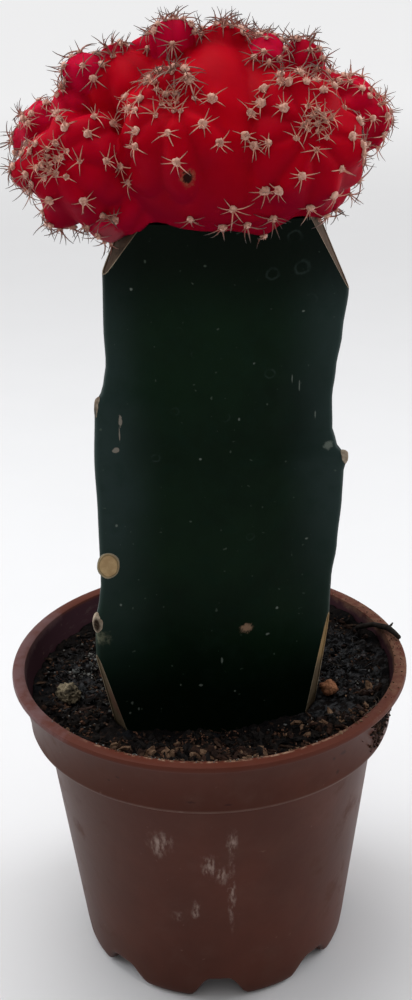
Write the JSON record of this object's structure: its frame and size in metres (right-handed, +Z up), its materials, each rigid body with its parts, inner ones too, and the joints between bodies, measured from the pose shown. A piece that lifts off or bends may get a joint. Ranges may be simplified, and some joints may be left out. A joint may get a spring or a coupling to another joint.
{
  "type": "potted moon cactus",
  "caption": "Grafted moon cactus: a clustered red ribbed scion with spines on an angular green stock, standing in potting mix in a small tapered plastic nursery pot with a notched foot.",
  "frame": {"origin": "on the pot's axis, in the plane of the surface that the pot's foot stands on", "axes": "+Z up along the pot's axis; the stock's broad face, which the picture shows, looks towards -Y; +X is to the right as seen from there"},
  "size_m": [0.065, 0.065, 0.1553],
  "materials": {
    "pot_plastic": "satin, moulded, dusty",
    "potting_mix": "rough, crumbly",
    "stock_flesh": "waxy, satin",
    "scion_flesh": "waxy, satin",
    "pebble_stone": "rough",
    "bark": "rough",
    "twig_wood": "rough"
  },
  "bodies": {
    "root": {"pot": "pot_plastic", "soil": "potting_mix", "rootstock": "stock_flesh", "scion": "scion_flesh", "pebble": "pebble_stone", "bark_chip": "bark", "twig": "twig_wood"}
  },
  "joints": []
}
